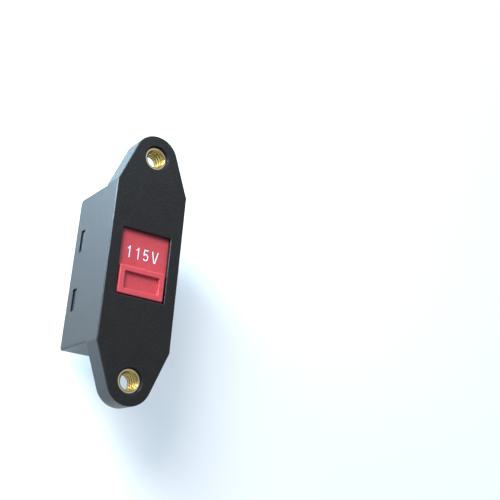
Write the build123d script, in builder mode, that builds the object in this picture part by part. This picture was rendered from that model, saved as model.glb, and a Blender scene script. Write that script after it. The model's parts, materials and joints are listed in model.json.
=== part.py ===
"""Voltage selector switch: a panel-mounted slide switch with a see-saw contact.

X runs along the switch, Y across it and Z out of its face. The face of the mounting plate is
z = 0, and the origin is midway between the two fixing holes. All sizes are in millimetres.
The slider is drawn at the end of its travel towards -X, where the 115 V contact is closed.
"""

import os
from math import cos, radians, sin, tan

from build123d import *

os.makedirs("parts", exist_ok=True)

# Mounting plate and its two ears
fixing_pitch = 40.0
ear_radius = 4.2
ear_thickness = 4.2
face_edge_radius = 0.25

# Case
case_length = 28.4
case_width = 13.7
case_depth = 15.0
side_wall = 0.8
end_wall = 1.1
front_wall = 0.8
base_ledge = 0.45
case_corner_radius = 0.4
ear_root_radius = 1.0
rear_edge_radius = 1.2
window_width = 9.3
window_edge_radius = 0.15

# Snap slots in the long sides, and the tongues of the base that click into them
snap_pitch = 11.0
slot_length = 4.1
slot_height = 1.6
slot_inset = 1.95
tongue_length = 3.9
tongue_height = 0.85
tongue_reach = 0.55
tongue_lip = 0.28

# Base
base_clearance = 0.05
base_thickness = 1.95
panel_recess = 2.5
panel_length = 21.3
strip_recess = 3.4
saddle_length = 3.2
saddle_height = 0.8

# Threaded inserts
insert_flats = 5.7
insert_flange = 1.4
collar_diameter = 4.2
insert_recess = 0.45
thread_bore = 2.85
mouth_chamfer = 0.3
insert_mouth = 0.2
insert_clearance = 0.02

# Slider
slider_clearance = 0.08
plate_thickness = 1.4
plate_overlap = 0.45
plate_end_gap = 0.3
block_length = 5.0
block_end_gap = 0.25
block_side_gap = 0.32
block_sink = 0.04
block_edge_radius = 0.18
block_corner_radius = 0.25
recess_margin = 0.97
recess_side_margin = 1.03
recess_depth = 0.7
stem_diameter = 4.6
rib_thickness = 1.0
rib_reach = 2.2
rib_margin = 0.83

# Plunger and its spring
plunger_diameter = 2.6
plunger_length = 3.6
plunger_exposure = 1.5
plunger_clearance = 0.06
plunger_wall = 0.35
plunger_floor = 1.3
plunger_gap = 0.1
spring_wire = 0.28
spring_clearance = 0.1
spring_turns = 4
spring_end_gap = 0.05
spring_roof = 1.3

# Rocker
rocker_tilt = 8.0
rocker_width = 4.4
rocker_waist = 3.0
rocker_thickness = 1.0
trough_margin = 0.65
arm_overhang = 0.9
pivot_clearance = 0.06
notch_length = 1.3

# Contact rivets
contact_reach = 6.0
contact_diameter = 2.6
contact_height = 0.5
contact_dome_radius = 3.0
fixed_contact_height = 0.4
shank_diameter = 1.3
shank_clearance = 0.02
contact_gap = 0.05
contact_bevel = 0.12

# Terminals
tab_pitch = 7.5
tab_width = 4.4
tab_thickness = 0.8
tab_reach = 4.0
tab_corner_radius = 1.1
tab_hole_diameter = 1.8
tab_hole_inset = 2.4
tab_clearance = 0.02
bend_radius = 0.3
flange_margin = 0.4
shoulder_width = 5.2
shoulder_height = 0.5
stake_height = 0.45
stake_bulge = 0.12
stake_taper = 10.0
prong_height = 1.1
prong_clearance = 0.1

# Levels, from the rear rim forwards
rim_z = -case_depth
tab_tip_z = rim_z - tab_reach
panel_z = rim_z + panel_recess
strip_z = rim_z + strip_recess
base_inner_z = panel_z + base_thickness
flange_z = base_inner_z + tab_thickness
fixed_contact_z = flange_z + fixed_contact_height

# The window is as long as the case allows. The slider's plate is a window longer than its travel,
# so that it covers the window at both ends, and it has to stop short of the end walls.
cavity_length = case_length - 2 * end_wall
block_room = block_length + 2 * block_end_gap
window_length = (cavity_length + 2 * block_room - 2 * plate_overlap - 2 * plate_end_gap) / 3
slider_travel = window_length - block_room
plate_length = window_length + slider_travel + 2 * plate_overlap

# The rocker turns in step with the slider. Its trough is the curve on which a plunger of
# constant length stays in touch all the way.
slider_x = -slider_travel / 2
tilt = radians(rocker_tilt)
trough_half = slider_travel / 2 + trough_margin
trough_rise = tan(tilt) / (slider_travel / 2) * trough_half**2
arm_half = contact_reach + arm_overhang

# Height of the rocker's pivot above the fixed contact that its lower arm rests on
dome_drop = contact_dome_radius * (1 - cos(tilt))
contact_drop = contact_reach * sin(tilt) + (contact_height - trough_rise) * cos(tilt) + dome_drop
pivot_z = fixed_contact_z + contact_gap + contact_drop

# Levels from the rocker up to the slider
plunger_tip_z = pivot_z + rocker_thickness + plunger_gap
stem_z = plunger_tip_z + plunger_exposure
slider_top_z = -front_wall - slider_clearance
slider_under_z = slider_top_z - plate_thickness
spring_top_z = -spring_roof - recess_depth
spring_floor_z = plunger_tip_z + plunger_floor

# Sizes that follow from their neighbours
cavity_width = case_width - 2 * side_wall
channel_width = cavity_width - 2 * base_ledge
plate_width = channel_width - 2 * slider_clearance
block_width = window_width - 2 * block_side_gap
base_length = cavity_length - 2 * base_clearance
base_width = cavity_width - 2 * base_clearance
slot_z = rim_z + slot_inset + slot_height / 2
plunger_bore = plunger_diameter + 2 * plunger_clearance
cup_bore = plunger_diameter - 2 * plunger_wall


def level(z, x=0.0):
    # A plane that faces forwards at height z
    return Plane(origin=(x, 0, z))


def upright(x=0.0, z=0.0):
    # A plane across Y, with its own x along X and its own y along Z
    return Plane(origin=(x, 0, z), x_dir=(1, 0, 0), z_dir=(0, -1, 0))


def crosswise(x=0.0, z=0.0):
    # A plane across X, with its own x along Y and its own y along Z
    return Plane(origin=(x, 0, z), x_dir=(0, 1, 0), z_dir=(1, 0, 0))


def spandrel(x, z, radius, along, up):
    # The patch between a corner and an arc that rounds it, seen from the side
    with BuildSketch(upright(x, z)) as patch:
        with Locations((along * radius / 2, up * radius / 2)):
            Rectangle(radius, radius)
        with Locations((along * radius, up * radius)):
            Circle(radius, mode=Mode.SUBTRACT)
    return patch.sketch


# The rocker's own plane, tilted about the pivot so that its -X arm is down
rocker_plane = Plane(
    origin=(0, 0, pivot_z), x_dir=(cos(tilt), 0, sin(tilt)), z_dir=(-sin(tilt), 0, cos(tilt))
)
rocker_side = Plane(origin=(0, 0, pivot_z), x_dir=(cos(tilt), 0, sin(tilt)), z_dir=(0, -1, 0))

fixing_holes = ((-fixing_pitch / 2, 0), (fixing_pitch / 2, 0))
snap_places = ((-snap_pitch / 2, 0), (snap_pitch / 2, 0))


# Housing: plate, ears and case in one moulding, open at the rear
with BuildPart() as housing:
    with BuildSketch(level(-ear_thickness)):
        Rectangle(case_length, case_width)
        with Locations(*fixing_holes):
            Circle(ear_radius)
        make_hull()
    extrude(amount=ear_thickness)
    fillet(housing.edges().group_by(Axis.Z)[-1], face_edge_radius)

    with BuildSketch(level(rim_z)):
        RectangleRounded(case_length, case_width, case_corner_radius)
    extrude(amount=case_depth - ear_thickness)

    # The rear edge of the upper end is rounded, and the lower one is left square
    rear_round = spandrel(case_length / 2, rim_z, rear_edge_radius, -1, 1)
    extrude(rear_round, amount=case_width, both=True, mode=Mode.SUBTRACT)

    # Concave roots between the ears and the end walls
    root_width = case_width - 2 * case_corner_radius
    for side in (-1, 1):
        root = spandrel(side * case_length / 2, -ear_thickness, ear_root_radius, side, -1)
        extrude(root, amount=root_width / 2, both=True)

    # Rear part of the cavity holds the base, and the narrower channel in front the slider
    with BuildSketch(level(rim_z)):
        Rectangle(cavity_length, cavity_width)
    extrude(amount=base_inner_z - rim_z, mode=Mode.SUBTRACT)
    with BuildSketch(level(base_inner_z)):
        Rectangle(cavity_length, channel_width)
    extrude(amount=-front_wall - base_inner_z, mode=Mode.SUBTRACT)
    with BuildSketch(level(-front_wall)):
        Rectangle(window_length, window_width)
    extrude(amount=front_wall, mode=Mode.SUBTRACT)
    window_rim = housing.edges(Select.LAST).group_by(Axis.Z)[-1]
    fillet(window_rim, window_edge_radius)

    # Snap slots through both long sides
    with BuildSketch(upright(z=slot_z)):
        with Locations(*snap_places):
            Rectangle(slot_length, slot_height)
    extrude(amount=case_width, both=True, mode=Mode.SUBTRACT)

    # Stepped holes for the inserts: a mouth in front, and a hexagonal pocket behind
    with BuildSketch(level(-ear_thickness)):
        with Locations(*fixing_holes):
            Circle(collar_diameter / 2 + insert_clearance)
    extrude(amount=ear_thickness, mode=Mode.SUBTRACT)
    with BuildSketch(level(-insert_recess)):
        with Locations(*fixing_holes):
            Circle(collar_diameter / 2 + insert_mouth)
    extrude(amount=insert_recess, mode=Mode.SUBTRACT)
    with BuildSketch(level(-ear_thickness)):
        with Locations(*fixing_holes):
            RegularPolygon(insert_flats / 2 + insert_clearance, 6, major_radius=False, rotation=30)
    extrude(amount=insert_flange, mode=Mode.SUBTRACT)
housing.part.label = "housing"
export_step(housing.part, "parts/housing.step")


# Base: the terminal board that closes the rear of the case
with BuildPart() as base:
    with BuildSketch(level(panel_z)):
        Rectangle(panel_length, base_width)
    extrude(amount=base_thickness)
    with BuildSketch(level(strip_z)):
        Rectangle(base_length, base_width)
    extrude(amount=base_inner_z - strip_z)

    # Saddle that stiffens the common terminal where it stands free
    with BuildSketch(level(base_inner_z)):
        Rectangle(saddle_length, shoulder_width + 2 * tab_thickness)
    extrude(amount=saddle_height)

    # Wedge tongues, square towards the rear, where they catch the slots
    tongue_rear_z = slot_z - slot_height / 2 + base_clearance
    for place, _ in snap_places:
        for side in (-1, 1):
            with BuildSketch(crosswise(place - tongue_length / 2, tongue_rear_z)):
                edge = side * base_width / 2
                tip = side * (base_width / 2 + tongue_reach)
                inner = side * (base_width / 2 - tongue_height)
                Polygon(
                    (inner, 0),
                    (tip, 0),
                    (tip, tongue_lip),
                    (edge, tongue_height),
                    (inner, tongue_height),
                    align=None,
                )
            extrude(amount=tongue_length)

    # Slots for the three terminals, with room for the common terminal's shoulders
    with BuildSketch(level(panel_z)):
        with GridLocations(tab_pitch, 0, 3, 1):
            Rectangle(tab_thickness + 2 * tab_clearance, tab_width + 2 * tab_clearance)
    extrude(amount=base_thickness + saddle_height, mode=Mode.SUBTRACT)
    with BuildSketch(level(base_inner_z)):
        Rectangle(tab_thickness + 2 * tab_clearance, shoulder_width + 2 * tab_clearance)
    extrude(amount=saddle_height, mode=Mode.SUBTRACT)
base.part.label = "base"
export_step(base.part, "parts/base.step")


# Slider: thumb block, covering plate and plunger stem in one moulding
with BuildPart() as slider:
    with BuildSketch(level(slider_under_z, slider_x)):
        Rectangle(plate_length, plate_width)
    extrude(amount=plate_thickness)
    with BuildSketch(level(slider_top_z, slider_x)):
        RectangleRounded(block_length, block_width, block_corner_radius)
    extrude(amount=-slider_top_z - block_sink)
    fillet(slider.edges().group_by(Axis.Z)[-1], block_edge_radius)
    with BuildSketch(level(-block_sink, slider_x)):
        Rectangle(block_length - 2 * recess_margin, block_width - 2 * recess_side_margin)
    extrude(amount=-recess_depth, mode=Mode.SUBTRACT)

    with BuildSketch(level(stem_z, slider_x)):
        Circle(stem_diameter / 2)
    extrude(amount=slider_under_z - stem_z)

    # Four ribs that taper from the plate down the stem
    rib_foot = stem_diameter / 2
    rib_drop = slider_under_z - stem_z - rib_margin
    for plane in (upright(slider_x, slider_under_z), crosswise(slider_x, slider_under_z)):
        with BuildSketch(plane):
            Polygon(
                (-rib_foot - rib_reach, 0),
                (-rib_foot / 2, -rib_drop),
                (rib_foot / 2, -rib_drop),
                (rib_foot + rib_reach, 0),
                align=None,
            )
        extrude(amount=rib_thickness / 2, both=True)

    with BuildSketch(level(stem_z, slider_x)):
        Circle(plunger_bore / 2)
    extrude(amount=spring_top_z - stem_z, mode=Mode.SUBTRACT)
slider.part.label = "slider"
export_step(slider.part, "parts/slider.step")


# Plunger: a cup round the spring, with a round nose that presses the rocker
with BuildPart() as plunger:
    with BuildSketch(upright(slider_x, plunger_tip_z)):
        nose = plunger_diameter / 2
        with BuildLine():
            RadiusArc((0, 0), (nose, nose), -nose)
            Line((nose, nose), (nose, plunger_length))
            Line((nose, plunger_length), (cup_bore / 2, plunger_length))
            Line((cup_bore / 2, plunger_length), (cup_bore / 2, plunger_floor))
            Line((cup_bore / 2, plunger_floor), (0, plunger_floor))
            Line((0, plunger_floor), (0, 0))
        make_face()
    revolve(axis=Axis((slider_x, 0, 0), (0, 0, 1)))
plunger.part.label = "plunger"
export_step(plunger.part, "parts/plunger.step")


# Plunger spring: an open coil between the cup's floor and the roof of the stem's bore, with its
# round wire drawn six-sided
with BuildPart() as plunger_spring:
    coil_radius = cup_bore / 2 - spring_clearance - spring_wire / 2
    coil_foot = spring_floor_z + spring_wire / 2
    coil_height = spring_top_z - spring_floor_z - spring_wire - spring_end_gap
    with BuildLine() as coil:
        Helix(coil_height / spring_turns, coil_height, coil_radius, center=(slider_x, 0, coil_foot))
    with BuildSketch(Plane(origin=coil.line @ 0, z_dir=coil.line % 0)):
        RegularPolygon(spring_wire / 2, 6)
    sweep(path=coil.line, is_frenet=True)
plunger_spring.part.label = "plunger_spring"
export_step(plunger_spring.part, "parts/plunger_spring.step")


# Rocker: a bar with a dished middle and level arms, grooved below where it sits on the pivot
with BuildPart() as rocker:
    with BuildSketch(rocker_side):
        with BuildLine():
            for height, sense in ((0, 1), (rocker_thickness, 1)):
                arm_z = height + trough_rise
                Line((-arm_half, arm_z), (-trough_half, arm_z))
                ThreePointArc((-trough_half, arm_z), (0, height), (trough_half, arm_z))
                Line((trough_half, arm_z), (arm_half, arm_z))
            for end in (-arm_half, arm_half):
                Line((end, trough_rise), (end, trough_rise + rocker_thickness))
        make_face()
    extrude(amount=rocker_width / 2, both=True)

    # Knife-edge groove, waist notches and rivet holes
    with BuildSketch(rocker_side):
        Circle(tab_thickness / 2 + pivot_clearance)
    extrude(amount=rocker_width, both=True, mode=Mode.SUBTRACT)
    notch_width = (rocker_width - rocker_waist) / 2
    with BuildSketch(rocker_plane):
        with GridLocations(0, rocker_waist + notch_width, 1, 2):
            Rectangle(notch_length, notch_width)
        with GridLocations(2 * contact_reach, 0, 2, 1):
            Circle(shank_diameter / 2 + shank_clearance)
    extrude(amount=2 * rocker_thickness + trough_rise, both=True, mode=Mode.SUBTRACT)
rocker.part.label = "rocker"
export_step(rocker.part, "parts/rocker.step")


# Rocker contacts: domed rivets under the arms, flush on top
for voltage, side in (("115", -1), ("230", 1)):
    with BuildPart() as rocker_contact:
        with BuildSketch(rocker_side):
            crown = trough_rise - contact_height
            reach = side * contact_reach
            rim = contact_diameter / 2
            sag = contact_dome_radius - (contact_dome_radius**2 - rim**2) ** 0.5
            shank = shank_diameter / 2
            arm_top = trough_rise + rocker_thickness
            with BuildLine():
                RadiusArc((reach, crown), (reach + rim, crown + sag), -contact_dome_radius)
                Line((reach + rim, crown + sag), (reach + rim, trough_rise))
                Line((reach + rim, trough_rise), (reach + shank, trough_rise))
                Line((reach + shank, trough_rise), (reach + shank, arm_top))
                Line((reach + shank, arm_top), (reach, arm_top))
                Line((reach, arm_top), (reach, crown))
            make_face()
        stem_axis = Axis(rocker_plane.from_local_coords((reach, 0, 0)), rocker_plane.z_dir)
        revolve(axis=stem_axis)
    rocker_contact.part.label = f"rocker_contact_{voltage}"
    export_step(rocker_contact.part, f"parts/rocker_contact_{voltage}.step")


def finish_tab(tab, x):
    # Rounded tip corners, the wire hole and the staked bulge where the tab leaves the base
    fillet(tab.edges().group_by(Axis.Z)[0].filter_by(Axis.X), tab_corner_radius)
    with BuildSketch(crosswise(x, tab_tip_z + tab_hole_inset)) as wire_hole:
        Circle(tab_hole_diameter / 2)
    extrude(wire_hole.sketch, amount=tab_thickness, both=True, mode=Mode.SUBTRACT)
    with BuildSketch(level(panel_z, x)) as stake:
        Rectangle(tab_thickness + 2 * stake_bulge, tab_width + 2 * stake_bulge)
    extrude(stake.sketch, amount=-stake_height, taper=stake_taper)


# Common terminal: a straight tab whose inner end is the rocker's knife edge between two prongs
with BuildPart() as terminal_common:
    edge_half = rocker_waist / 2 + prong_clearance
    shoulder_z = base_inner_z + shoulder_height
    prong_z = pivot_z + prong_height
    with BuildSketch(crosswise(-tab_thickness / 2)):
        with BuildLine():
            Polyline(
                (0, tab_tip_z),
                (tab_width / 2, tab_tip_z),
                (tab_width / 2, base_inner_z),
                (shoulder_width / 2, base_inner_z),
                (shoulder_width / 2, shoulder_z),
                (tab_width / 2, shoulder_z),
                (tab_width / 2, prong_z),
                (edge_half, prong_z),
                (edge_half, pivot_z),
                (0, pivot_z),
            )
            mirror(about=Plane.YZ)
        make_face()
    extrude(amount=tab_thickness)
    with BuildSketch(upright(z=pivot_z)):
        Circle(tab_thickness / 2)
    extrude(amount=edge_half, both=True)
    finish_tab(terminal_common, 0)
terminal_common.part.label = "terminal_common"
export_step(terminal_common.part, "parts/terminal_common.step")


# Side terminals: tabs bent inwards over the base, with a silver rivet on each flange
for voltage, side in (("115", -1), ("230", 1)):
    with BuildPart() as terminal:
        outer = side * (tab_pitch + tab_thickness / 2)
        inner = side * (tab_pitch - tab_thickness / 2)
        flange_end = side * (contact_reach - contact_diameter / 2 - flange_margin)
        with BuildSketch(upright()):
            with BuildLine() as bend:
                Polyline(
                    (outer, tab_tip_z),
                    (outer, flange_z),
                    (flange_end, flange_z),
                    (flange_end, base_inner_z),
                    (inner, base_inner_z),
                    (inner, tab_tip_z),
                    close=True,
                )
            make_face()
            fillet(bend.vertices().group_by(Axis.Z)[-1].sort_by(Axis.X)[side], bend_radius)
        extrude(amount=tab_width / 2, both=True)
        finish_tab(terminal, side * tab_pitch)
        with BuildSketch(level(base_inner_z, side * contact_reach)):
            Circle(shank_diameter / 2 + shank_clearance)
        extrude(amount=tab_thickness, mode=Mode.SUBTRACT)
    terminal.part.label = f"terminal_{voltage}"
    export_step(terminal.part, f"parts/terminal_{voltage}.step")

    with BuildPart() as fixed_contact:
        with BuildSketch(level(base_inner_z, side * contact_reach)):
            Circle(shank_diameter / 2)
        extrude(amount=tab_thickness)
        with BuildSketch(level(flange_z, side * contact_reach)):
            Circle(contact_diameter / 2)
        extrude(amount=fixed_contact_height)
        chamfer(fixed_contact.edges().group_by(Axis.Z)[-1], contact_bevel)
    fixed_contact.part.label = f"fixed_contact_{voltage}"
    export_step(fixed_contact.part, f"parts/fixed_contact_{voltage}.step")


# Inserts: round collars on hexagonal flanges that sit flush in the backs of the ears
for end, (x, _) in zip(("lower", "upper"), fixing_holes):
    with BuildPart() as insert:
        with BuildSketch(level(-ear_thickness, x)):
            RegularPolygon(insert_flats / 2, 6, major_radius=False, rotation=30)
        extrude(amount=insert_flange)
        with BuildSketch(level(-ear_thickness + insert_flange, x)):
            Circle(collar_diameter / 2)
        extrude(amount=ear_thickness - insert_flange - insert_recess)
        with BuildSketch(level(-ear_thickness, x)):
            Circle(thread_bore / 2)
        extrude(amount=ear_thickness, mode=Mode.SUBTRACT)
        bore_edges = insert.edges().filter_by(GeomType.CIRCLE).sort_by(SortBy.RADIUS)[:2]
        chamfer(bore_edges, mouth_chamfer)
    insert.part.label = f"insert_{end}"
    export_step(insert.part, f"parts/insert_{end}.step")
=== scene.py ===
import json
import math

import bpy
import numpy as np
from mathutils import Euler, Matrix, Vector


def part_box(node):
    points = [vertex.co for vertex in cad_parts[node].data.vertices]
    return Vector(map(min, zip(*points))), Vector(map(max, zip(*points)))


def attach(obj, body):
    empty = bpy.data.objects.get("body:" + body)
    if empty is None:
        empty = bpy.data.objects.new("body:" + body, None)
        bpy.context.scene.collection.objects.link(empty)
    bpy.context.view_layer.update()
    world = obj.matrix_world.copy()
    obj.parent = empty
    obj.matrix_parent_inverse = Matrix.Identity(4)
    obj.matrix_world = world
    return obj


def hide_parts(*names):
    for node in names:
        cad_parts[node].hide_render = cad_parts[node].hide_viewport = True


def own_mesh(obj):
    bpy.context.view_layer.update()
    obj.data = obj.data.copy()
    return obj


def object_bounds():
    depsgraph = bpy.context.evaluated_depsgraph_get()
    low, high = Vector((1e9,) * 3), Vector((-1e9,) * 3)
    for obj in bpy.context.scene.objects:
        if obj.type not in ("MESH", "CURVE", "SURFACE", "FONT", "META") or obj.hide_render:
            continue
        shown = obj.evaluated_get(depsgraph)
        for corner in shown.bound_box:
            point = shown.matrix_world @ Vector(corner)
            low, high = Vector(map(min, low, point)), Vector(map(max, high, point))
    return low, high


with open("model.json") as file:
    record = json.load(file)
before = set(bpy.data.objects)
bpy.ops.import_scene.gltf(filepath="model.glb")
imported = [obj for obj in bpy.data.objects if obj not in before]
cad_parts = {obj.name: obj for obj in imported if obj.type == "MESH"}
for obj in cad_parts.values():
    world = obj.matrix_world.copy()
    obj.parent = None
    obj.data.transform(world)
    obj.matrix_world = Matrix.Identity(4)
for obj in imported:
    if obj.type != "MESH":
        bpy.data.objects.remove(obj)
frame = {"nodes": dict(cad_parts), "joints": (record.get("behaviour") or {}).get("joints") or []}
nodes = frame["nodes"]
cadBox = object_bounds()
mm = 0.001
print("frame loaded:", len(nodes), "nodes")


def tone(colour):
    # A colour with full alpha, as colour sockets take it
    return (*colour, 1.0)


def eased(share):
    # Three squares less two cubes: from 0 to 1, with no slope at either end
    return share * share * (3 - 2 * share)


class Wire:
    # One output socket. Arithmetic on wires adds the Math node that does it.
    def __init__(self, wiring, socket):
        self.wiring = wiring
        self.socket = socket

    def __add__(self, other):
        return self.wiring.maths("ADD", self, other)

    def __radd__(self, other):
        return self.wiring.maths("ADD", other, self)

    def __sub__(self, other):
        return self.wiring.maths("SUBTRACT", self, other)

    def __rsub__(self, other):
        return self.wiring.maths("SUBTRACT", other, self)

    def __mul__(self, other):
        return self.wiring.maths("MULTIPLY", self, other)

    def __rmul__(self, other):
        return self.wiring.maths("MULTIPLY", other, self)

    def __truediv__(self, other):
        return self.wiring.maths("DIVIDE", self, other)

    def __rtruediv__(self, other):
        return self.wiring.maths("DIVIDE", other, self)

    def __pow__(self, other):
        return self.wiring.maths("POWER", self, other)

    def __abs__(self):
        return self.wiring.maths("ABSOLUTE", self)


class Wiring:
    # A node tree being laid out. Every node in it comes from add.
    def __init__(self, tree):
        self.tree = tree

    def add(self, kind, settings, inputs, output=0):
        # Settings first, then the sockets' values or links
        node = self.tree.nodes.new(kind)
        for name, value in settings.items():
            setattr(node, name, value)
        for name, value in inputs.items():
            self.feed(node.inputs[name], value)
        return Wire(self, node.outputs[output]) if node.outputs else None

    def feed(self, socket, value):
        # Links a wire, and sets anything else as the socket's own value
        if isinstance(value, Wire):
            self.tree.links.new(value.socket, socket)
        else:
            socket.default_value = value

    def sibling(self, wire, output):
        # Another output of the node that a wire comes from
        return Wire(self, wire.socket.node.outputs[output])

    def maths(self, operation, first, second=0.0):
        return self.add("ShaderNodeMath", {"operation": operation}, {0: first, 1: second})

    def ramp(self, wire, low, high):
        # Rises smoothly from 0 to 1 as the wire goes from low to high
        return self.add("ShaderNodeMapRange", {"interpolation_type": "SMOOTHSTEP"}, {
            "Value": wire, "From Min": low, "From Max": high,
        })

    def mix(self, share, first, second):
        # Two colours, from the first to the second as the share goes from 0 to 1
        return self.add("ShaderNodeMix", {"data_type": "RGBA"}, {"Factor": share, 6: first, 7: second}, 2)

    def weigh(self, share, first, second):
        # The first wire by its share and the second by the rest
        return first * share + second * (1 - share)

    def seen(self):
        # 1 for what the camera sees straight, in a mirror or through glass
        straight = self.add("ShaderNodeLightPath", {}, {}, "Is Camera Ray")
        mirrored = self.sibling(straight, "Is Glossy Ray")
        through = self.sibling(straight, "Is Transmission Ray")
        return self.maths("MAXIMUM", straight, self.maths("MAXIMUM", mirrored, through))


class Finish(Wiring):
    # A material laid out round its Principled shader
    def __init__(self, name, **constants):
        self.material = bpy.data.materials.new(name)
        self.material.use_nodes = True
        super().__init__(self.material.node_tree)
        self.shader = self.tree.nodes["Principled BSDF"]
        self.paint(**constants)
        self.place = self.add("ShaderNodeTexCoord", {}, {}, "Object")

    def paint(self, **sockets):
        # Feeds the shader's sockets, named with underscores for spaces
        for name, value in sockets.items():
            self.feed(self.shader.inputs[name.replace("_", " ")], value)

    def axes(self):
        # The place's x, y and z as three wires
        x = self.add("ShaderNodeSeparateXYZ", {}, {"Vector": self.place}, "X")
        return x, self.sibling(x, "Y"), self.sibling(x, "Z")

    def stretched(self, scale):
        # The place scaled along each axis. A scale under 1 draws a pattern out that way.
        return self.add("ShaderNodeMapping", {}, {"Vector": self.place, "Scale": scale})

    def noise(self, size, detail, roughness=0.5, place=None):
        # Noise whose blotches are about size metres across
        return self.add("ShaderNodeTexNoise", {}, {
            "Vector": place or self.place, "Scale": 1.0 / size, "Detail": detail, "Roughness": roughness,
        })

    def bump(self, height, distance, under=None):
        # Normals as if the surface rose by the height times the distance, over other normals if given
        given = {"Height": height, "Distance": distance, "Strength": 1.0}
        if under is not None:
            given["Normal"] = under
        return self.add("ShaderNodeBump", {}, given, "Normal")

    def rounded(self, radius):
        # Normals that turn smoothly round every edge
        return self.add("ShaderNodeBevel", {"samples": 8}, {"Radius": radius})

    def edgeWearAndHighlight(self, rounded, least=0.02, most=0.25):
        # 0 on a flat face, rising to 1 where the rounded normals leave it. It paints edges paler, partly as wear and
        # partly as a painted highlight.
        flat = self.add("ShaderNodeNewGeometry", {}, {}, "Normal")
        agreed = self.add("ShaderNodeVectorMath", {"operation": "DOT_PRODUCT"}, {0: rounded, 1: flat}, "Value")
        return self.ramp(1 - agreed, least, most)

    def roughened(self, look, wire):
        # From the look's smooth to its rough as the wire goes from 0 to 1
        return look["smooth"] + (look["rough"] - look["smooth"]) * wire


# Camera and studio
view = {
    "place": (-0.04534, 0.06634, 0.13559),
    "turn": (15.288, -34.247, -84.515),
    "lens": 65.85, "sensor": 36.0, "nearest": 0.005,
}
studio = {
    "floorColour": (0.975, 0.96, 0.955), "floorDuller": 0.99, "floorGrain": 4.0 * mm, "floorRough": 0.9,
    "floorGloss": 0.1, "floorGlow": 0.34, "floorHalf": 1.5, "floorDrop": 0.02 * mm,
    "skyDim": (0.19, 0.30, 0.40), "skyBright": (0.35, 0.60, 0.85), "skyFrom": (0.45, 0.80, 0.40),
    "skyEnds": (-0.5, 1.0), "backColour": (0.985, 0.99, 1.0), "ceiling": (0.42, 0.43, 0.45), "sweepEnds": (0.15, 0.80),
}
lamps = {
    "keyWindow": {"from": (0.30, 0.46, 0.43), "size": (0.34, 0.34), "power": 5.6, "colour": (1.0, 0.955, 0.90)},
    "highWindow": {"from": (0.44, -0.16, 0.31), "size": (0.25, 0.25), "power": 0.72, "colour": (0.88, 0.96, 1.0)},
    "sideFill": {"from": (0.042, 0.055, 0.002), "size": (0.03, 0.02), "power": 0.25, "colour": (0.50, 0.78, 1.0)},
}


def makeCamera():
    # Over the lower end, on the side of +Y, looking at the face
    lens = bpy.data.cameras.new("frontCamera")
    lens.lens = view["lens"]
    lens.sensor_width = view["sensor"]
    lens.clip_start = view["nearest"]
    camera = bpy.data.objects.new("frontCamera", lens)
    camera.location = view["place"]
    camera.rotation_euler = Euler([math.radians(a) for a in view["turn"]])
    bpy.context.scene.collection.objects.link(camera)
    bpy.context.scene.camera = camera


def makeLamp(name, given):
    # A window that faces the object, which stands at the origin
    light = bpy.data.lights.new(name, "AREA")
    light.shape = "RECTANGLE"
    light.size, light.size_y = given["size"]
    light.energy = given["power"]
    light.color = given["colour"]
    lamp = bpy.data.objects.new(name, light)
    lamp.location = given["from"]
    lamp.rotation_euler = Vector(given["from"]).to_track_quat("Z", "Y").to_euler()
    lamp.visible_camera = False
    bpy.context.scene.collection.objects.link(lamp)


def makeSky():
    # A graded studio, bright on the window's side, behind a plain white backdrop
    world = bpy.data.worlds.new("studio")
    world.use_nodes = True
    bpy.context.scene.world = world
    world.node_tree.nodes.clear()
    air = Wiring(world.node_tree)
    ray = air.add("ShaderNodeTexCoord", {}, {}, "Generated")
    towards = Vector(studio["skyFrom"]).normalized()
    facing = air.add("ShaderNodeVectorMath", {"operation": "DOT_PRODUCT"}, {0: ray, 1: towards}, "Value")
    sky = air.mix(air.ramp(facing, *studio["skyEnds"]), tone(studio["skyDim"]), tone(studio["skyBright"]))
    fill = air.add("ShaderNodeBackground", {}, {"Color": sky})
    upward = air.add("ShaderNodeSeparateXYZ", {}, {"Vector": ray}, "Z")
    sweep = air.mix(air.ramp(upward, *studio["sweepEnds"]), tone(studio["backColour"]), tone(studio["ceiling"]))
    back = air.add("ShaderNodeBackground", {}, {"Color": sweep})
    mixed = air.add("ShaderNodeMixShader", {}, {0: air.seen(), 1: fill, 2: back})
    air.add("ShaderNodeOutputWorld", {}, {"Surface": mixed})


def makeFloor():
    # White card, clear from below. The camera and mirrors also see a white glow under its shadows.
    half = studio["floorHalf"]
    low = cadBox[0].z - studio["floorDrop"]
    corners = [(-half, -half, low), (half, -half, low), (half, half, low), (-half, half, low)]
    mesh = bpy.data.meshes.new("floor")
    mesh.from_pydata(corners, [], [(0, 1, 2, 3)])
    floor = bpy.data.objects.new("floor", mesh)
    bpy.context.scene.collection.objects.link(floor)
    card = Finish("whiteCard", Roughness=studio["floorRough"], Specular_IOR_Level=studio["floorGloss"])
    duller = tone([c * studio["floorDuller"] for c in studio["floorColour"]])
    card.paint(Base_Color=card.mix(card.noise(studio["floorGrain"], 3.0), duller, tone(studio["floorColour"])))
    glow = card.add("ShaderNodeEmission", {}, {"Color": tone((1.0, 1.0, 1.0)), "Strength": 1.0})
    shaded = Wire(card, card.shader.outputs["BSDF"])
    mixed = card.add("ShaderNodeMixShader", {}, {0: card.seen() * studio["floorGlow"], 1: shaded, 2: glow})
    underneath = card.add("ShaderNodeNewGeometry", {}, {}, "Backfacing")
    clear = card.add("ShaderNodeBsdfTransparent", {}, {})
    openBelow = card.add("ShaderNodeMixShader", {}, {0: underneath, 1: mixed, 2: clear})
    card.feed(card.tree.nodes["Material Output"].inputs["Surface"], openBelow)
    mesh.materials.append(card.material)


makeCamera()
for lampName, given in lamps.items():
    makeLamp(lampName, given)
makeSky()
makeFloor()
bpy.context.scene.view_settings.view_transform = "Standard"
print("camera, lamps and floor ready")


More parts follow.
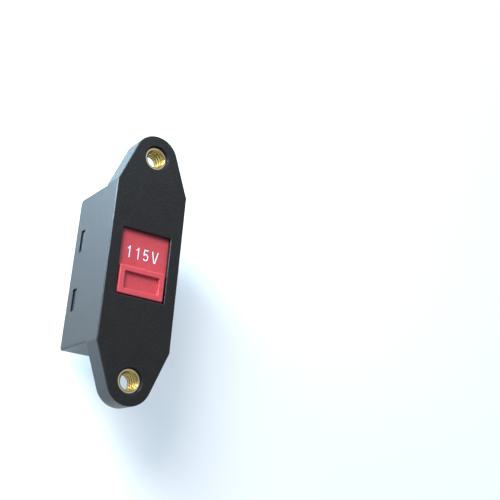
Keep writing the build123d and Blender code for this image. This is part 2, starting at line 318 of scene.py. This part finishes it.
def dress(finish, *names):
    # A CAD node takes this finish in its own material slot
    for name in names:
        mesh = nodes[name].data
        mesh.materials.clear()
        mesh.materials.append(finish.material)


# Black moulding: fine eroded grain, a satin skin, faint flow and edges painted a little paler, partly wear and partly
# a painted highlight
blackCase = {
    "colour": (0.004, 0.0042, 0.0045), "paler": (0.017, 0.0155, 0.0152), "edge": (0.05, 0.052, 0.056),
    "grain": 0.30 * mm, "grainDepth": 0.050 * mm, "speck": 0.10 * mm, "cloud": 3.0 * mm,
    "grainInMottle": 0.6, "mottleEnds": (0.40, 0.62), "mottleInColour": 0.6, "cloudInRough": 0.5, "grainInBump": 0.7,
    "edgeRadius": 0.10 * mm, "wearAndHighlight": 0.5, "smooth": 0.27, "rough": 0.46, "gloss": 0.35,
    "sheen": 0.03, "sheenRough": 0.35, "sheenTint": (0.70, 0.86, 1.0),
}

# Where the terminal board's moulding differs: a duller skin
blackBoard = {"gloss": 0.20, "sheen": 0.01, "smooth": 0.36}


def makeBlack(name, look):
    # Grain and speck mottle the skin and raise it, and cloud varies its colour and shine
    finish = Finish(
        name, Specular_IOR_Level=look["gloss"], Sheen_Weight=look["sheen"],
        Sheen_Roughness=look["sheenRough"], Sheen_Tint=tone(look["sheenTint"]),
    )
    grain = finish.noise(look["grain"], 2.0, 0.6)
    speck = finish.noise(look["speck"], 2.0, 0.6)
    cloud = finish.noise(look["cloud"], 3.0, 0.55)
    mottle = finish.ramp(finish.weigh(look["grainInMottle"], grain, speck), *look["mottleEnds"])
    patches = finish.weigh(look["mottleInColour"], mottle, cloud)
    body = finish.mix(patches, tone(look["colour"]), tone(look["paler"]))
    rounded = finish.rounded(look["edgeRadius"])
    finish.paint(
        # Edges painted paler: partly wear, partly a painted highlight on every edge
        Base_Color=finish.mix(finish.edgeWearAndHighlight(rounded) * look["wearAndHighlight"], body, tone(look["edge"])),
        Roughness=finish.roughened(look, finish.weigh(look["cloudInRough"], cloud, mottle)),
        Normal=finish.bump(finish.weigh(look["grainInBump"], grain, speck), look["grainDepth"], rounded),
    )
    return finish


# Red moulding of the slider: a fine grain over faint flow marks, and edges painted a little paler, partly wear and
# partly a painted highlight
redSlider = {
    "colour": (0.52, 0.048, 0.060), "paler": (0.63, 0.078, 0.090), "edge": (0.78, 0.20, 0.22),
    "grain": 0.22 * mm, "grainDepth": 0.008 * mm, "flow": 1.6 * mm,
    "mottleEnds": (0.35, 0.65), "flowInColour": 0.6, "flowInRough": 0.5,
    "edgeRadius": 0.08 * mm, "wearAndHighlight": 0.5, "smooth": 0.34, "rough": 0.48, "gloss": 0.42,
}


def makeRed():
    look = redSlider
    finish = Finish("redMoulding", Specular_IOR_Level=look["gloss"])
    grain = finish.noise(look["grain"], 3.0, 0.6)
    flow = finish.noise(look["flow"], 3.0, 0.5)
    mottle = finish.ramp(grain, *look["mottleEnds"])
    patches = finish.weigh(look["flowInColour"], flow, mottle)
    body = finish.mix(patches, tone(look["colour"]), tone(look["paler"]))
    rounded = finish.rounded(look["edgeRadius"])
    finish.paint(
        # Edges painted paler: partly wear, partly a painted highlight on every edge
        Base_Color=finish.mix(finish.edgeWearAndHighlight(rounded) * look["wearAndHighlight"], body, tone(look["edge"])),
        Roughness=finish.roughened(look, finish.weigh(look["flowInRough"], flow, grain)),
        Normal=finish.bump(grain, look["grainDepth"], rounded),
    )
    return finish


# Metals: a colour, a duller colour in blotches, and a fine grain
metalSkin = {
    "blotch": 1.1 * mm, "blotchEnds": (0.4, 0.75), "blotchInRough": 0.6, "grain": 0.08 * mm, "grainDepth": 0.002 * mm,
}
metals = {
    "springBrass": {"colour": (0.84, 0.62, 0.30), "duller": (0.66, 0.44, 0.18), "smooth": 0.20, "rough": 0.36},
    "contactSilver": {"colour": (0.90, 0.89, 0.86), "duller": (0.74, 0.71, 0.66), "smooth": 0.14, "rough": 0.28},
    "springSteel": {"colour": (0.60, 0.60, 0.62), "duller": (0.44, 0.44, 0.46), "smooth": 0.22, "rough": 0.34},
}


def makeMetal(name):
    look = {**metalSkin, **metals[name]}
    finish = Finish(name, Metallic=1.0)
    blotch = finish.noise(look["blotch"], 4.0, 0.6)
    grain = finish.noise(look["grain"], 2.0, 0.6)
    dull = finish.ramp(blotch, *look["blotchEnds"])
    finish.paint(
        Base_Color=finish.mix(dull, tone(look["colour"]), tone(look["duller"])),
        Roughness=finish.roughened(look, finish.weigh(look["blotchInRough"], blotch, grain)),
        Normal=finish.bump(grain, look["grainDepth"]),
    )
    return finish


# Blades: tinned over brass that shows at the foot and in blotches, with lines drawn along them
blades = {
    "tin": (0.58, 0.57, 0.54), "dullTin": (0.34, 0.32, 0.28), "brass": (0.80, 0.60, 0.24),
    "blotch": 1.2 * mm, "blotchEnds": (0.4, 0.72), "blotchInRough": 0.5,
    "lines": 0.10 * mm, "lineDepth": 0.003 * mm, "lineStretch": (1.0, 1.0, 0.06),
    "footTop": -12.4 * mm, "footEnd": -14.6 * mm, "footRagged": 1.4 * mm, "brassShare": 0.85,
    "smooth": 0.20, "rough": 0.42, "edgeRadius": 0.07 * mm,
}


def makeBlade():
    look = blades
    finish = Finish("tinnedBlade", Metallic=1.0)
    z = finish.axes()[2]
    blotch = finish.noise(look["blotch"], 4.0, 0.6)
    drawn = finish.noise(look["lines"], 3.0, 0.6, finish.stretched(look["lineStretch"]))
    tin = finish.mix(finish.ramp(blotch, *look["blotchEnds"]), tone(look["tin"]), tone(look["dullTin"]))
    foot = finish.ramp(z + (blotch - 0.5) * look["footRagged"], look["footEnd"], look["footTop"])
    finish.paint(
        Base_Color=finish.mix(foot * look["brassShare"], tin, tone(look["brass"])),
        Roughness=finish.roughened(look, finish.weigh(look["blotchInRough"], blotch, drawn)),
        Normal=finish.bump(drawn, look["lineDepth"], finish.rounded(look["edgeRadius"])),
    )
    return finish


black = makeBlack("blackMoulding", blackCase)
boardBlack = makeBlack("blackBoard", {**blackCase, **blackBoard})
red = makeRed()
rockerBrass = makeMetal("springBrass")
blade = makeBlade()
silver = makeMetal("contactSilver")
steel = makeMetal("springSteel")
dress(black, "housing")
dress(boardBlack, "base")
dress(red, "slider")
dress(rockerBrass, "rocker", "plunger")
dress(blade, "terminal_common", "terminal_115", "terminal_230")
dress(silver, "fixed_contact_115", "fixed_contact_230", "rocker_contact_115", "rocker_contact_230")
print("finishes on the CAD nodes")


# Rounded edges. A face is flat up to flatTo degrees, and an edge is sharp over sharpOver degrees.
edges = {
    "moulded": 0.06 * mm, "stamped": 0.05 * mm, "joinWithin": 0.0005 * mm,
    "flatTo": 0.5, "sharpOver": 30, "segments": 2,
}


def soften(width, *names):
    # Bevels the sharp edges of CAD nodes, once their loose triangles are joined and flat faces made
    # whole. The housing and the middle blade are left out: theirs would cross themselves.
    for name in names:
        stack = nodes[name].modifiers
        join = stack.new("joined", "WELD")
        join.merge_threshold = edges["joinWithin"]
        whole = stack.new("whole", "DECIMATE")
        whole.decimate_type = "DISSOLVE"
        whole.angle_limit = math.radians(edges["flatTo"])
        rounded = stack.new("rounded", "BEVEL")
        rounded.width = width
        rounded.segments = edges["segments"]
        rounded.limit_method = "ANGLE"
        rounded.angle_limit = math.radians(edges["sharpOver"])
        rounded.use_clamp_overlap = False
        rounded.harden_normals = True


soften(edges["moulded"], "base", "slider")
soften(edges["stamped"], "terminal_115", "terminal_230", "rocker")
print("edges softened")


def ringFaces(rows, columns, ringRows=True):
    # Quads of a grid of points whose columns close on themselves, and its rows too where asked
    row, column = np.meshgrid(np.arange(rows if ringRows else rows - 1), np.arange(columns), indexing="ij")
    below = (row + 1) % rows
    beside = (column + 1) % columns
    corners = [row * columns + column, row * columns + beside, below * columns + beside, below * columns + column]
    return np.stack(corners, axis=-1).reshape(-1, 4)


def endCaps(rows, columns):
    # Quads laid straight across the first and the last row of a tube of an even number of columns
    near = np.arange(columns // 2 - 1)
    cap = np.stack([near, near + 1, columns - 2 - near, columns - 1 - near], axis=-1)
    return np.vstack([cap[:, ::-1], cap + (rows - 1) * columns])


def makePiece(name, points, faces, finish, body, crease):
    # Six times the volume that the faces close is the sum, over the two triangles of each, of
    # corner . (corner x corner). Where it is negative they point inwards, and are turned round.
    a, b, c, d = (points[faces[:, k]] for k in range(4))
    volume = np.sum(a * np.cross(b, c)) + np.sum(a * np.cross(c, d))
    if volume < 0:
        faces = faces[:, ::-1]
    mesh = bpy.data.meshes.new(name)
    mesh.from_pydata(points.tolist(), [], faces.tolist())
    mesh.materials.append(finish.material)
    mesh.polygons.foreach_set("use_smooth", np.ones(len(faces), dtype=bool))
    mesh.set_sharp_from_angle(angle=math.radians(crease))
    piece = bpy.data.objects.new(name, mesh)
    bpy.context.scene.collection.objects.link(piece)
    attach(piece, body)
    return piece


# Threaded brass inserts
insert = {
    "flats": 5.7 * mm, "flange": 1.4 * mm, "collar": 4.12 * mm, "bevel": 0.06 * mm,
    "minor": 2.85 * mm, "major": 3.505 * mm, "pitch": 0.794 * mm, "root": 0.10 * mm, "mouth": 0.33 * mm,
    "flankAngle": 30, "columns": 96, "threadRows": 84, "crease": 35,
    "colour": (0.93, 0.86, 0.60), "duller": (0.84, 0.74, 0.44), "blotch": 0.9 * mm, "blotchEnds": (0.4, 0.75),
    "hexagon": (0.80, 0.66, 0.34), "hexTop": -2.4 * mm, "hexFade": 0.2 * mm,
    # The bore's colour is painted shade: the inside of the hole is painted darker than the turned outside
    "bore": (0.42, 0.31, 0.08), "boreSide": 1.78 * mm, "boreFade": 0.06 * mm, "boreRough": 0.32,
    "ringWide": 0.10 * mm, "ringHigh": 0.25 * mm, "ringDepth": 0.004 * mm, "blotchInRough": 0.5,
    "smooth": 0.16, "rough": 0.32,
}


def makeInsertBrass():
    # Turned rings run round each insert's own axis, on both ears at once
    look = insert
    finish = Finish("turnedBrass", Metallic=1.0)
    x, y, z = finish.axes()
    low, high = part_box("insert_upper")
    radius = ((abs(x) - (low.x + high.x) / 2) ** 2.0 + y * y) ** 0.5
    unrolled = finish.add("ShaderNodeCombineXYZ", {}, {"X": radius / look["ringWide"], "Y": z / look["ringHigh"]})
    rings = finish.noise(1.0, 3.0, 0.6, unrolled)
    blotch = finish.noise(look["blotch"], 4.0, 0.6)
    turned = finish.mix(finish.ramp(blotch, *look["blotchEnds"]), tone(look["colour"]), tone(look["duller"]))
    aboveHex = finish.ramp(z, look["hexTop"] - look["hexFade"], look["hexTop"])
    outside = finish.mix(aboveHex, tone(look["hexagon"]), turned)
    outer = finish.ramp(radius, look["boreSide"] - look["boreFade"], look["boreSide"])
    worked = finish.roughened(look, finish.weigh(look["blotchInRough"], blotch, rings))
    finish.paint(
        # Inside the bore the brass takes the darker bore colour, painted shade in the hole
        Base_Color=finish.mix(outer, tone(look["bore"]), outside),
        Roughness=finish.maths("MAXIMUM", (1 - outer) * look["boreRough"], worked),
        Normal=finish.bump(rings, look["ringDepth"]),
    )
    return finish


def threadRadius(height, angle):
    # How far the thread's turn has come is the height over the pitch less the angle over a full
    # turn. Its groove is deepest at half of that, for the width of the root, and from there the
    # radius falls on two flanks, eased at both ends, from half the major to half the minor size.
    given = insert
    turn = (height / given["pitch"] - angle / (2 * np.pi)) % 1.0
    depth = (given["major"] - given["minor"]) / 2
    flank = depth * math.tan(math.radians(given["flankAngle"]))
    fromMiddle = np.abs(turn - 0.5) * given["pitch"]
    climb = np.clip((given["root"] / 2 + flank - fromMiddle) / flank, 0.0, 1.0)
    return given["minor"] / 2 + depth * eased(climb)


def makeInsert(end, finish):
    # A closed section carried round the hole's axis. Outside, the flange's radius is half the flats
    # over the cosine of the angle from the nearest flat, and the collar's is constant. Inside, the
    # radius is the thread's, or the mouth's cone where that is wider.
    given = insert
    low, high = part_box("insert_" + end)
    centre = (low + high) / 2
    angle = np.linspace(0.0, 2 * np.pi, given["columns"], endpoint=False)
    fromFlat = (angle + np.pi / 6) % (np.pi / 3) - np.pi / 6
    hexagon = given["flats"] / 2 / np.cos(fromFlat)
    collar = np.full_like(angle, given["collar"] / 2)
    bevel = given["bevel"]
    flangeTop = low.z + given["flange"]
    outside = [
        (low.z, hexagon - bevel), (low.z + bevel, hexagon), (flangeTop - bevel, hexagon),
        (flangeTop, hexagon - bevel), (flangeTop, collar), (high.z - bevel, collar), (high.z, collar - bevel),
    ]
    height = np.linspace(high.z, low.z, given["threadRows"])[:, None]
    fromEnd = np.minimum(high.z - height, height - low.z)
    inside = np.maximum(threadRadius(height, angle), given["minor"] / 2 + given["mouth"] - fromEnd)
    radius = np.vstack([[r for _, r in outside], inside])
    heights = np.vstack([[np.full_like(angle, z) for z, _ in outside], height + 0 * angle])
    points = np.stack([centre.x + radius * np.cos(angle), centre.y + radius * np.sin(angle), heights], axis=-1)
    faces = ringFaces(*radius.shape)
    piece = makePiece("threadedInsert_" + end, points.reshape(-1, 3), faces, finish, "case", given["crease"])
    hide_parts("insert_" + end)


insertBrass = makeInsertBrass()
for end in ("lower", "upper"):
    makeInsert(end, insertBrass)
print("threaded inserts")


# Plunger's spring, with closed and ground ends. It does not shorten as the plunger goes in: the share it would shorten
# by, down to the roof, is worked out and left unused.
coil = {
    "wire": 0.28 * mm, "turns": 7.0, "closed": 0.9, "tight": 1.03, "ground": 0.25, "roof": -2.0 * mm,
    "perTurn": 40, "sides": 10, "crease": 50,
}


def makeSpring(finish):
    # A round wire carried along a helix. It climbs by little more than the wire's thickness a turn at
    # both ends, and in the middle by that and what is left of the length. The ground ends are the
    # wire's skin held between the spring's lowest and highest planes.
    low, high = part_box("plunger_spring")
    wire, turns, closed = coil["wire"], coil["turns"], coil["closed"]
    turn = np.linspace(0.0, turns, round(turns * coil["perTurn"]) + 1)
    opened = eased(np.clip(np.minimum(turn, turns - turn) / closed - 1, 0.0, 1.0))
    seat = wire * coil["ground"]
    tight = coil["tight"] * wire
    spread = (high.z - low.z - 2 * seat - turns * tight) / (turns - 3 * closed)
    climb = tight + spread * opened
    rise = np.concatenate([[0.0], np.cumsum((climb[1:] + climb[:-1]) / 2 * (turn[1] - turn[0]))])
    angle = 2 * np.pi * turn
    flat = 0 * angle
    radius = (high.x - low.x - wire) / 2
    outward = np.stack([np.cos(angle), np.sin(angle), flat], axis=-1)
    ahead = np.stack([-np.sin(angle), np.cos(angle), climb / (2 * np.pi * radius)], axis=-1)
    ahead /= np.linalg.norm(ahead, axis=1, keepdims=True)
    lift = np.cross(outward, ahead)
    middle = np.array([(low.x + high.x) / 2, (low.y + high.y) / 2, low.z + seat])
    line = middle + radius * outward + np.stack([flat, flat, rise], axis=-1)
    around = 2 * np.pi * np.arange(coil["sides"]) / coil["sides"]
    skin = np.cos(around)[None, :, None] * outward[:, None] + np.sin(around)[None, :, None] * lift[:, None]
    points = line[:, None] + wire / 2 * skin
    points[..., 2] = np.clip(points[..., 2], low.z, high.z)
    rows, columns = points.shape[:2]
    faces = np.vstack([ringFaces(rows, columns, False), endCaps(rows, columns)])
    piece = makePiece("plungerCoil", points.reshape(-1, 3), faces, finish, "slider", coil["crease"])
    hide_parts("plunger_spring")
    length = coil["roof"] - low.z
    press = next(joint for joint in frame["joints"] if joint["name"] == "plunger_press")
    (length - press["range_m"][1]) / length
    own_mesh(piece)


makeSpring(steel)
print("plunger's spring")


# Voltages printed on the slider's plate. A glyph is drawn in cap heights, as strokes along its middle line.
legend = {
    "capHeight": 2.1 * mm, "stroke": 0.20 * mm, "thick": 0.014 * mm, "layer": 0.002 * mm, "crease": 30,
    "fromMiddle": 5.23 * mm, "plateTop": -0.88 * mm, "lastWide": 0.64, "arcPoints": 25,
    "ink": (0.90, 0.89, 0.89), "thinInk": (0.80, 0.62, 0.64), "rough": 0.55, "gloss": 0.3,
    "grain": 0.14 * mm, "grainEnds": (0.52, 0.80), "grainDepth": 0.003 * mm,
    "words": {
        "115V": (("1", 0.0), ("1", 0.80), ("5", 1.43), ("V", 2.20)),
        "230V": (("2", 0.0), ("3", 0.80), ("0", 1.49), ("V", 2.20)),
    },
}


def arc(across, up, wide, high, start, stop):
    # Points on an ellipse about (across, up), from one angle to the other in degrees
    turn = np.radians(np.linspace(start, stop, legend["arcPoints"]))
    return np.stack([across + wide * np.cos(turn), up + high * np.sin(turn)], axis=-1)


glyphs = {
    "0": (arc(0.27, 0.50, 0.205, 0.435, 90, 450),),
    "1": (np.array([(0.187, 0.0), (0.187, 1.0)]), np.array([(0.01, 0.745), (0.187, 0.925)])),
    "2": (
        np.vstack([arc(0.27, 0.715, 0.205, 0.22, 168, -38), [(0.075, 0.085)]]),
        np.array([(0.03, 0.065), (0.53, 0.065)]),
    ),
    "3": (arc(0.255, 0.745, 0.185, 0.19, 158, -82), arc(0.265, 0.30, 0.205, 0.235, 102, -158)),
    "5": (
        np.array([(0.465, 0.935), (0.118, 0.935), (0.080, 0.470)]),
        arc(0.245, 0.325, 0.205, 0.262, 142, -150),
    ),
    "V": (np.array([(0.065, 0.99), (0.272, 0.05), (0.368, 0.05), (0.575, 0.99)]),),
}


def ribbon(line, half, top, bottom):
    # A flat strip carried along a line in the plane. At each point it reaches to both sides by half
    # its width along the mitre, which is the sum of the two neighbouring normals over one plus
    # their product. A line that ends where it starts closes on itself.
    ring = np.allclose(line[0], line[-1])
    if ring:
        line = line[:-1]
    ahead = np.roll(line, -1, axis=0) - line
    ahead /= np.linalg.norm(ahead, axis=1, keepdims=True)
    normal = np.stack([-ahead[:, 1], ahead[:, 0]], axis=-1)
    before = np.roll(normal, 1, axis=0)
    if not ring:
        normal[-1] = before[-1]
        before[0] = normal[0]
    mitre = half * (normal + before) / (1 + np.sum(normal * before, axis=1, keepdims=True))
    rims = [(line + mitre, top), (line - mitre, top), (line - mitre, bottom), (line + mitre, bottom)]
    points = np.stack([np.column_stack([edge, np.full(len(line), z)]) for edge, z in rims], axis=1)
    faces = ringFaces(len(line), 4, ring)
    if not ring:
        faces = np.vstack([faces, endCaps(len(line), 4)])
    return points.reshape(-1, 3), faces


def makeInk():
    look = legend
    finish = Finish("whiteInk", Roughness=look["rough"], Specular_IOR_Level=look["gloss"])
    grain = finish.noise(look["grain"], 3.0, 0.6)
    finish.paint(
        Base_Color=finish.mix(finish.ramp(grain, *look["grainEnds"]), tone(look["ink"]), tone(look["thinInk"])),
        Normal=finish.bump(grain, look["grainDepth"]),
    )
    return finish


def makeLegend(word, side, finish):
    # The word reads towards -Y with its top towards +X. A point's y is half the word's width less
    # its way along the word, and its x is the word's foot and its height above that. Each further
    # stroke of a glyph is a hair lower, so that no two tops lie in one plane.
    low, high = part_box("slider")
    cap = legend["capHeight"]
    letters = legend["words"][word]
    wide = letters[-1][1] + legend["lastWide"]
    allPoints, allFaces, count = [], [], 0
    for letter, start in letters:
        for layer, line in enumerate(glyphs[letter]):
            top = legend["plateTop"] + legend["thick"] - layer * legend["layer"]
            points, faces = ribbon(line * cap, legend["stroke"] / 2, top, legend["plateTop"])
            across = wide * cap / 2 - start * cap - points[:, 0]
            along = (low.x + high.x) / 2 + side * legend["fromMiddle"] - cap / 2 + points[:, 1]
            allPoints.append(np.column_stack([along, across, points[:, 2]]))
            allFaces.append(faces + count)
            count += len(points)
    makePiece("legend_" + word, np.vstack(allPoints), np.vstack(allFaces), finish, "slider", legend["crease"])


ink = makeInk()
for word, side in (("115V", 1), ("230V", -1)):
    makeLegend(word, side, ink)
print("printed voltages")
